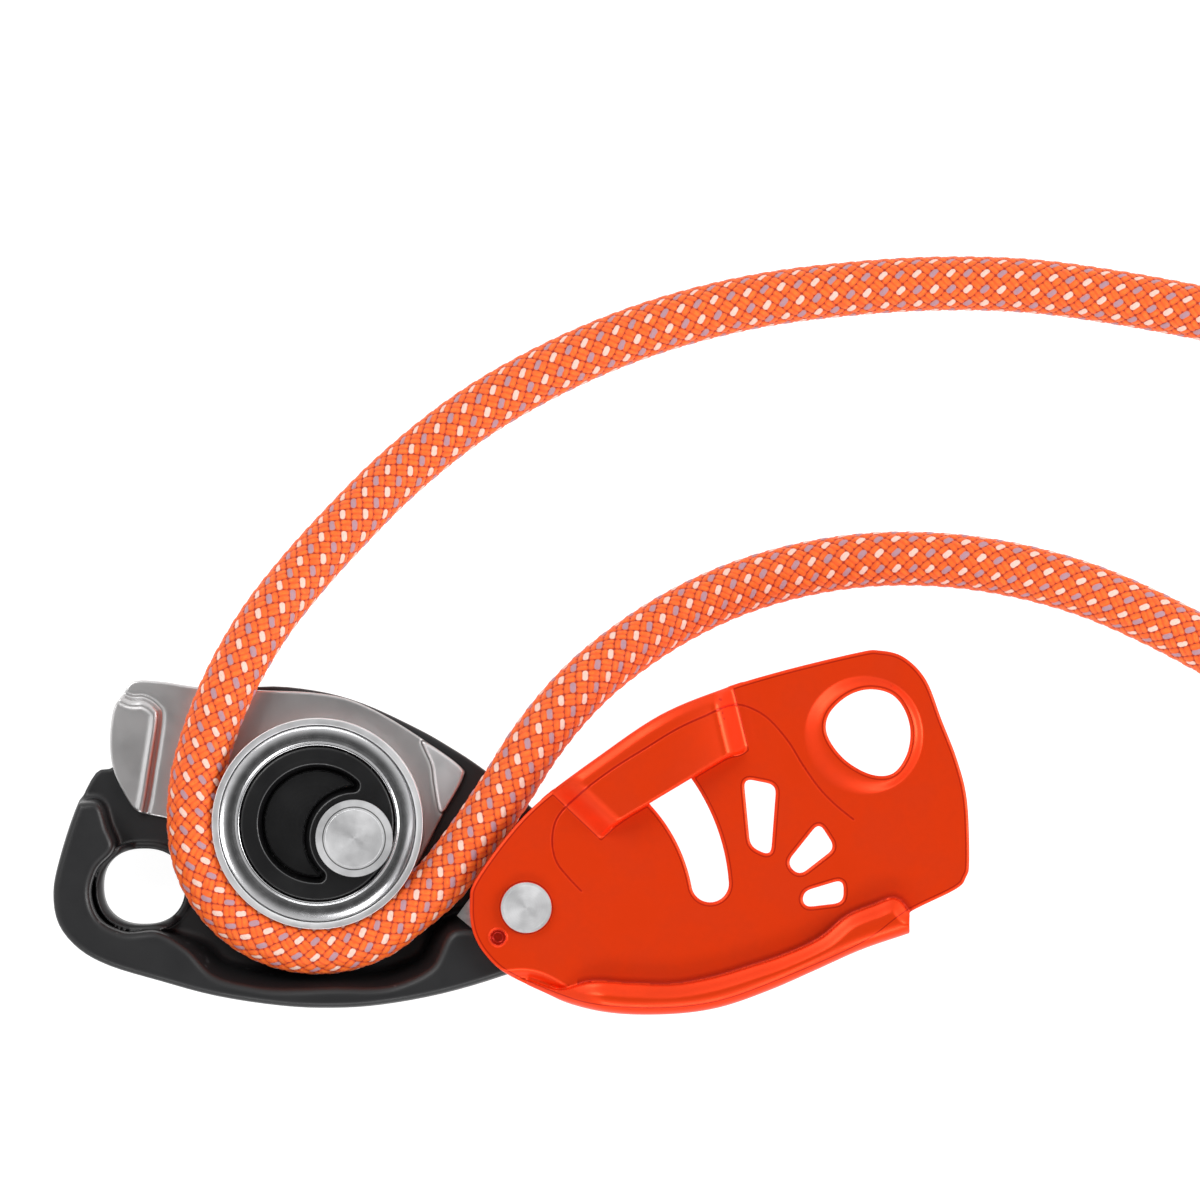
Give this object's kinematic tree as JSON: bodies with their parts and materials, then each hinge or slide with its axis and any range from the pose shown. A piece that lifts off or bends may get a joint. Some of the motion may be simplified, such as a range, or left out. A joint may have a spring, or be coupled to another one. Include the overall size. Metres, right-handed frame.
{
  "type": "rope descender",
  "caption": "Assisted-braking rope descender with an eccentric cam, a free-running grooved wheel, a swinging side plate and a folding release lever, shown open with its rope laid in.",
  "frame": {"origin": "axis of the attachment eye, at the back face of the fixed plate", "axes": "+X from the attachment eye towards the side plate's pivot, +Z from the fixed plate towards the side plate; the device lies on its back, on the handle"},
  "size_m": [0.2248, 0.1402, 0.034],
  "materials": {
    "black_alloy": "satin black hard-anodised aluminium",
    "satin_stainless": "bead-blasted satin stainless steel",
    "anvil_steel": "ground steel",
    "turned_stainless": "turned stainless steel with concentric tool marks",
    "bronze": "plain bearing bronze",
    "slip_plastic": "plain bearing plastic",
    "spring_steel": "drawn spring steel",
    "orange_anodised": "satin orange-red anodised aluminium",
    "hub_black": "black anodised turned aluminium",
    "bearing_steel": "ground bearing steel",
    "wheel_steel": "turned and brushed stainless steel",
    "black_plastic": "fine-textured black nylon",
    "rope_sheath": "braided orange polyamide sheath with white and mauve tracer yarns"
  },
  "bodies": {
    "frame": {"fixed_plate": "black_alloy", "wear_plate": "satin_stainless", "wear_plate_rivets": "satin_stainless", "anvil": "anvil_steel", "anvil_dowel": "anvil_steel", "pivot_pin": "turned_stainless", "pivot_friction_washer": "bronze", "cam_bush": "bronze", "cam_thrust_washer": "slip_plastic", "cam_stop_pin": "anvil_steel", "cam_spring": "spring_steel", "rope_climber_strand": "rope_sheath", "rope_brake_strand": "rope_sheath"},
    "side_plate": {"side_plate": "orange_anodised", "side_plate_bush": "bronze"},
    "cam": {"cam_hub": "hub_black", "cam_axle": "turned_stainless", "bearing_inner_race": "bearing_steel", "handle_hub": "satin_stainless", "hub_retaining_ring": "spring_steel", "hub_cap": "black_plastic", "handle_pin": "turned_stainless", "handle_spring": "spring_steel"},
    "wheel": {"wheel_rim": "wheel_steel", "wheel_front_shield": "wheel_steel", "wheel_rear_shield": "wheel_steel", "bearing_outer_race": "bearing_steel", "bearing_balls": "bearing_steel"},
    "handle": {"handle_lever": "satin_stainless", "handle_grip": "black_plastic", "grip_rivet": "turned_stainless"}
  },
  "joints": [
    {"name": "side_plate_swing", "type": "hinge", "parent": "frame", "child": "side_plate", "pos_m": [0.0709, -0.0036, 0.0175], "axis": [0, 0, 1], "range_deg": [0, 150]},
    {"name": "cam_tilt", "type": "hinge", "parent": "frame", "child": "cam", "pos_m": [0.0392, 0.0092, 0.01], "axis": [0, 0, 1], "range_deg": [-55, 0], "stiffness_Nm_per_rad": 0.05, "springref_deg": 17.19},
    {"name": "wheel_spin", "type": "hinge", "parent": "cam", "child": "wheel", "pos_m": [0.0323, 0.0118, 0.0108], "axis": [0, 0, 1], "continuous": true},
    {"name": "handle_unfold", "type": "hinge", "parent": "cam", "child": "handle", "pos_m": [0.05727, 0.00333, -0.005], "axis": [0, 0, 1], "range_deg": [0, 100], "stiffness_Nm_per_rad": 0.01, "springref_deg": -17.19}
  ]
}
